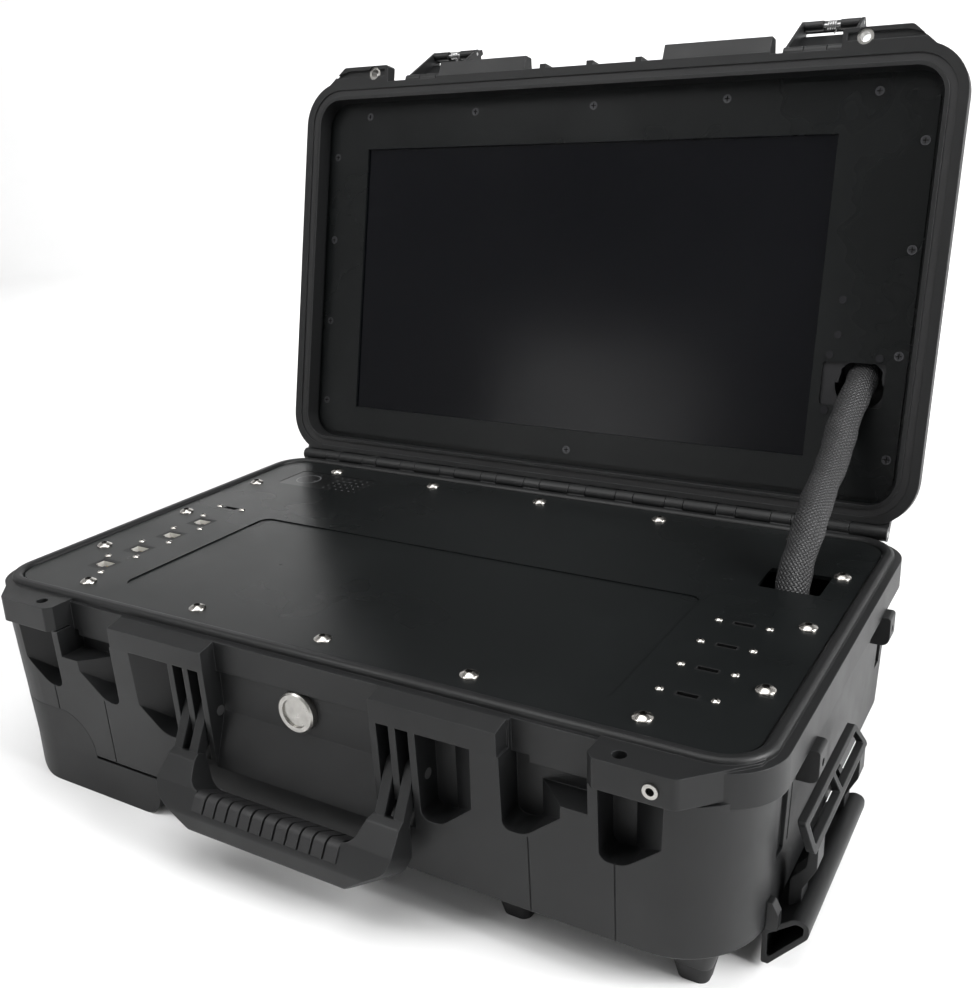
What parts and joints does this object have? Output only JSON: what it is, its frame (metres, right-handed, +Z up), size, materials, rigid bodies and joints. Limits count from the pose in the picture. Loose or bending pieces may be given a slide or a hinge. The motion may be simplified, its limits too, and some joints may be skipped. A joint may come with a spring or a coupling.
{
  "type": "hard case",
  "caption": "Wheeled hard case with a hinged lid: a screen in the lid panel, a socket panel in the base, a sleeved cable between, latches, a carrying handle and a pull handle",
  "frame": {"origin": "on the floor under the middle of the base panel", "axes": "+Z up, +X to the right along the hinge, front of the case at -Y"},
  "size_m": [0.5266, 0.4952, 0.4578],
  "materials": {
    "case_plastic": "fine moulded grain",
    "boot_plastic": "smooth moulded",
    "panel_coat": "satin black coat",
    "inner_frame": "milled",
    "bright_screws": "nickel plated",
    "dark_screws": "black plated",
    "keypad_film": "printed film",
    "socket_plastic": "moulded",
    "cable_sleeve": "braided sleeve",
    "steel": "ground",
    "bright_disc": "polished",
    "wheel_tyre": "matt",
    "foot_rubber": "matt",
    "rail_aluminium": "anodised",
    "handle_plastic": "satin moulded",
    "grip_rubber": "grooved",
    "gasket_rubber": "soft",
    "screen_gloss": "gloss",
    "grey_bracket": "satin",
    "latch_plastic": "satin moulded"
  },
  "bodies": {
    "base": {"base_cable_clamp": "inner_frame", "base_eyelet": "bright_disc", "base_panel": "panel_coat", "base_panel_screws": "bright_screws", "base_panel_seat": "inner_frame", "base_shell": "case_plastic", "end_lugs": "case_plastic", "foot_pedestals": "case_plastic", "front_disc": "bright_disc", "handle_pins": "steel", "hinge_pin": "steel", "keypad_overlay": "keypad_film", "monitor_cable": "cable_sleeve", "network_jacks": "socket_plastic", "pull_clips": "case_plastic", "pull_guides": "case_plastic", "rubber_feet": "foot_rubber", "side_port": "socket_plastic", "slot_ports": "socket_plastic", "socket_screws": "bright_screws", "wheel_axles": "steel", "wheel_boot_back": "boot_plastic", "wheel_boot_front": "boot_plastic"},
    "lid": {"latch_pivot_pin_left": "steel", "latch_pivot_pin_right": "steel", "lid_cable_bracket": "grey_bracket", "lid_eyelets": "bright_disc", "lid_gasket": "gasket_rubber", "lid_panel": "panel_coat", "lid_panel_screws": "dark_screws", "lid_panel_seat": "inner_frame", "lid_shell": "case_plastic", "press_studs": "dark_screws", "screen_glass": "screen_gloss", "screen_module": "socket_plastic", "screen_straps": "inner_frame"},
    "latch_left": {"latch_lever_pin_left": "steel", "latch_link_left": "latch_plastic", "latch_spring_left": "steel"},
    "latch_right": {"latch_lever_pin_right": "steel", "latch_link_right": "latch_plastic", "latch_spring_right": "steel"},
    "trigger_left": {"latch_lever_left": "latch_plastic"},
    "trigger_right": {"latch_lever_right": "latch_plastic"},
    "handle": {"front_handle": "handle_plastic", "handle_grip": "grip_rubber"},
    "pull": {"pull_frame": "handle_plastic", "pull_grip": "handle_plastic", "pull_rails": "rail_aluminium"},
    "wheel_front": {"wheel_front_hub": "boot_plastic", "wheel_front_tyre": "wheel_tyre"},
    "wheel_back": {"wheel_back_hub": "boot_plastic", "wheel_back_tyre": "wheel_tyre"}
  },
  "joints": [
    {"name": "lid_hinge", "type": "hinge", "parent": "base", "child": "lid", "pos_m": [0, 0.156, 0.133], "axis": [-1, 0, 0], "range_deg": [-101.9, 0], "deforming": ["monitor_cable"]},
    {"name": "latch_left_swing", "type": "hinge", "parent": "lid", "child": "latch_left", "pos_m": [-0.155, 0.24646, 0.43473], "axis": [-1, 0, 0], "range_deg": [-143.1, 0]},
    {"name": "trigger_left_pull", "type": "hinge", "parent": "latch_left", "child": "trigger_left", "pos_m": [-0.155, 0.28725, 0.45375], "axis": [-1, 0, 0], "range_deg": [0, 15], "stiffness_Nm_per_rad": 0.03, "springref_deg": -8.59},
    {"name": "latch_right_swing", "type": "hinge", "parent": "lid", "child": "latch_right", "pos_m": [0.155, 0.24646, 0.43473], "axis": [-1, 0, 0], "range_deg": [-143.1, 0]},
    {"name": "trigger_right_pull", "type": "hinge", "parent": "latch_right", "child": "trigger_right", "pos_m": [0.155, 0.28725, 0.45375], "axis": [-1, 0, 0], "range_deg": [0, 15], "stiffness_Nm_per_rad": 0.03, "springref_deg": -8.59},
    {"name": "handle_swing", "type": "hinge", "parent": "base", "child": "handle", "pos_m": [0, -0.156, 0.085], "axis": [-1, 0, 0], "range_deg": [-3, 65]},
    {"name": "pull_slide", "type": "slide", "parent": "base", "child": "pull", "axis": [1, 0, 0], "range_m": [0, 0.38]},
    {"name": "wheel_front_spin", "type": "hinge", "parent": "base", "child": "wheel_front", "pos_m": [-0.218, -0.112, 0.035], "axis": [0, 1, 0], "continuous": true},
    {"name": "wheel_back_spin", "type": "hinge", "parent": "base", "child": "wheel_back", "pos_m": [-0.218, 0.112, 0.035], "axis": [0, 1, 0], "continuous": true}
  ]
}
